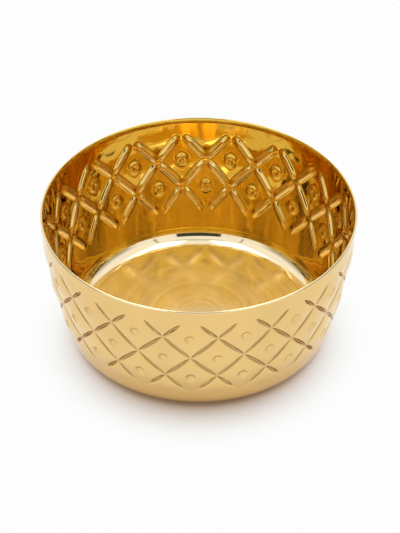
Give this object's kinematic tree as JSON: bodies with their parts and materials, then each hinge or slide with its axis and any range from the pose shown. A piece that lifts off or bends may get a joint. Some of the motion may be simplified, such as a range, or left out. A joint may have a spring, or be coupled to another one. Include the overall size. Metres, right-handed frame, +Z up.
{
  "type": "offering bowl",
  "caption": "Round drawn brass bowl with slightly flared walls, a pressed diamond lattice with dimples, and a raised flat floor.",
  "frame": {"origin": "middle of the ring that the bowl stands on, on the plane of that ring", "axes": "+Z up along the bowl's axis, towards its mouth; -Y towards the viewer in the picture"},
  "size_m": [0.12, 0.12, 0.0555],
  "materials": {
    "polished_brass": "mirror polished gold coloured brass sheet, with fine turned marks on the floor"
  },
  "bodies": {
    "root": {"bowl": "polished_brass"}
  },
  "joints": []
}
